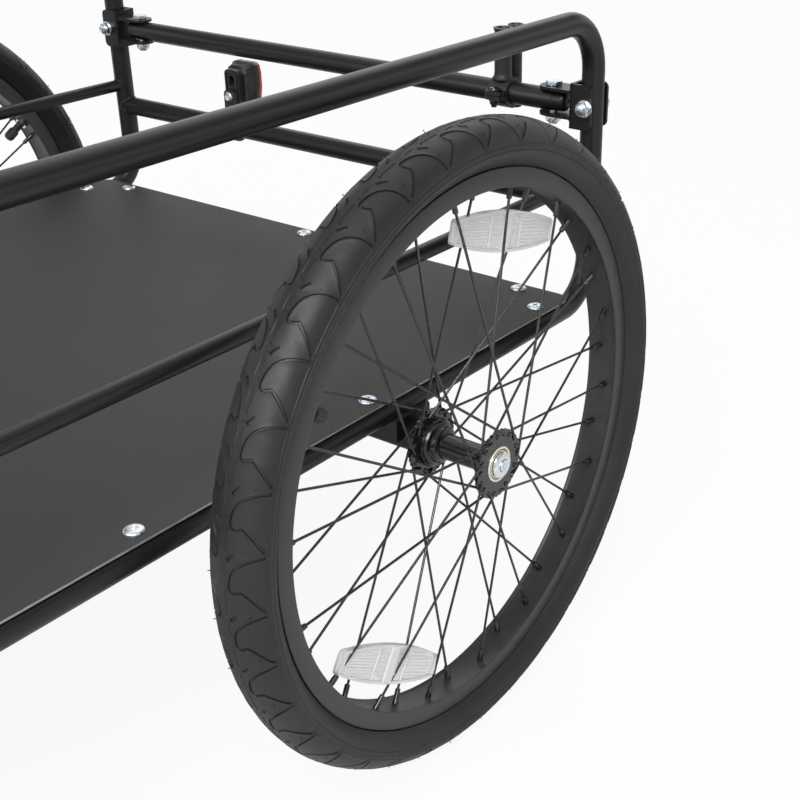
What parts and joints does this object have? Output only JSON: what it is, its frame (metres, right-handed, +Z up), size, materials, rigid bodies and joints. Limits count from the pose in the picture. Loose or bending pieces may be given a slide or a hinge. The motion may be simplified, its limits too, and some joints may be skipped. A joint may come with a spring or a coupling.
{
  "type": "cargo bike trailer",
  "caption": "Flat-bed cargo trailer for a bicycle: looped tube sides, sheet deck, spoked wheels on push-button axles, and a folding drawbar with a pivoting hitch fork.",
  "frame": {"origin": "on the ground, under the middle of the trailer's overall length and width with the drawbar straight ahead", "axes": "+X forward along the direction of travel, +Y to the trailer's left, +Z up"},
  "size_m": [1.5382, 0.7752, 0.5165],
  "materials": {
    "satin_black_frame": "satin black powder coat",
    "charcoal_deck": "fine-grained charcoal powder coat",
    "bright_zinc": "bright zinc plate",
    "yellow_zinc": "pale yellow zinc plate",
    "tyre_rubber": "matt moulded rubber",
    "tube_rubber": "smooth butyl",
    "rim_black": "satin grey-black anodised",
    "hub_black": "gloss black shell with satin black spokes",
    "clear_reflector": "clear prismatic plastic",
    "red_reflector": "red prismatic plastic",
    "black_plastic": "moulded black plastic"
  },
  "bodies": {
    "frame": {"side_frame_left": "satin_black_frame", "side_frame_right": "satin_black_frame", "upper_crossbar_rear": "satin_black_frame", "upper_crossbar_front": "satin_black_frame", "middle_crossbar_rear": "satin_black_frame", "middle_crossbar_front": "satin_black_frame", "lower_crossmember_rear": "satin_black_frame", "lower_crossmember_front": "satin_black_frame", "bracket_rear_left": "satin_black_frame", "bracket_rear_right": "satin_black_frame", "bracket_front_left": "satin_black_frame", "bracket_front_right": "satin_black_frame", "upright_bolt_rear_left": "bright_zinc", "upright_bolt_rear_right": "bright_zinc", "upright_bolt_front_left": "bright_zinc", "upright_bolt_front_right": "bright_zinc", "crossbar_bolt_rear_left": "bright_zinc", "crossbar_bolt_rear_right": "bright_zinc", "crossbar_bolt_front_left": "bright_zinc", "crossbar_bolt_front_right": "bright_zinc", "axle_tube": "satin_black_frame", "left_wheel_axle": "bright_zinc", "right_wheel_axle": "bright_zinc", "deck": "charcoal_deck", "rear_reflector_housing": "black_plastic", "rear_reflector_lens": "red_reflector", "rear_reflector_clamp": "black_plastic", "pole_socket_upper": "black_plastic", "pole_socket_lower": "black_plastic", "pole_socket_bolt": "bright_zinc", "drawbar_receiver": "satin_black_frame", "drawbar_pivot_bolt": "bright_zinc"},
    "left_wheel": {"left_wheel_tyre": "tyre_rubber", "left_wheel_inner_tube": "tube_rubber", "left_wheel_rim": "rim_black", "left_wheel_hub_and_spokes": "hub_black", "left_wheel_outer_bearing": "yellow_zinc", "left_wheel_inner_bearing": "yellow_zinc", "left_wheel_upper_reflector": "clear_reflector", "left_wheel_lower_reflector": "clear_reflector"},
    "right_wheel": {"right_wheel_tyre": "tyre_rubber", "right_wheel_inner_tube": "tube_rubber", "right_wheel_rim": "rim_black", "right_wheel_hub_and_spokes": "hub_black", "right_wheel_outer_bearing": "yellow_zinc", "right_wheel_inner_bearing": "yellow_zinc", "right_wheel_upper_reflector": "clear_reflector", "right_wheel_lower_reflector": "clear_reflector"},
    "left_axle_button": {"left_wheel_axle_button": "bright_zinc"},
    "right_axle_button": {"right_wheel_axle_button": "bright_zinc"},
    "drawbar": {"drawbar_arm": "satin_black_frame", "drawbar_clamp_bolt": "bright_zinc", "drawbar_head": "bright_zinc"},
    "knuckle": {"coupling_knuckle": "satin_black_frame", "coupling_pitch_pin": "bright_zinc"},
    "fork": {"coupling_fork": "satin_black_frame", "coupling_yaw_pin": "bright_zinc"},
    "hitch_pin": {"hitch_pin": "bright_zinc"},
    "hitch_bail": {"hitch_pin_bail": "bright_zinc"},
    "clamp_knob": {"drawbar_clamp_knob": "black_plastic"}
  },
  "joints": [
    {"name": "left_wheel_spin", "type": "hinge", "parent": "frame", "child": "left_wheel", "pos_m": [-0.48075, 0.351, 0.243], "axis": [0, 1, 0], "continuous": true},
    {"name": "right_wheel_spin", "type": "hinge", "parent": "frame", "child": "right_wheel", "pos_m": [-0.48075, -0.351, 0.243], "axis": [0, 1, 0], "continuous": true},
    {"name": "left_axle_button_press", "type": "slide", "parent": "frame", "child": "left_axle_button", "axis": [0, -1, 0], "range_m": [0, 0.004], "stiffness_N_per_m": 1200},
    {"name": "right_axle_button_press", "type": "slide", "parent": "frame", "child": "right_axle_button", "axis": [0, 1, 0], "range_m": [0, 0.004], "stiffness_N_per_m": 1200},
    {"name": "drawbar_fold", "type": "hinge", "parent": "frame", "child": "drawbar", "pos_m": [0.10425, 0.19, 0.219], "axis": [0, 0, 1], "range_deg": [-80, 0]},
    {"name": "clamp_knob_turn", "type": "hinge", "parent": "drawbar", "child": "clamp_knob", "pos_m": [0.14069, 0.18357, 0.219], "axis": [0, 0, 1], "range_deg": [0, 270]},
    {"name": "coupling_pitch", "type": "hinge", "parent": "drawbar", "child": "knuckle", "pos_m": [0.65771, 0.09241, 0.327], "axis": [0.1736, 0.9848, 0], "range_deg": [-30, 30]},
    {"name": "coupling_yaw", "type": "hinge", "parent": "knuckle", "child": "fork", "pos_m": [0.6912, 0.08651, 0.327], "axis": [0, 0, 1], "range_deg": [-60, 60]},
    {"name": "hitch_pin_pull", "type": "slide", "parent": "fork", "child": "hitch_pin", "axis": [0, 0, 1], "range_m": [0, 0.037]},
    {"name": "hitch_bail_swing", "type": "hinge", "parent": "hitch_pin", "child": "hitch_bail", "pos_m": [0.7365, 0.07852, 0.3486], "axis": [0.1736, 0.9848, 0], "range_deg": [-170, 0]}
  ]
}
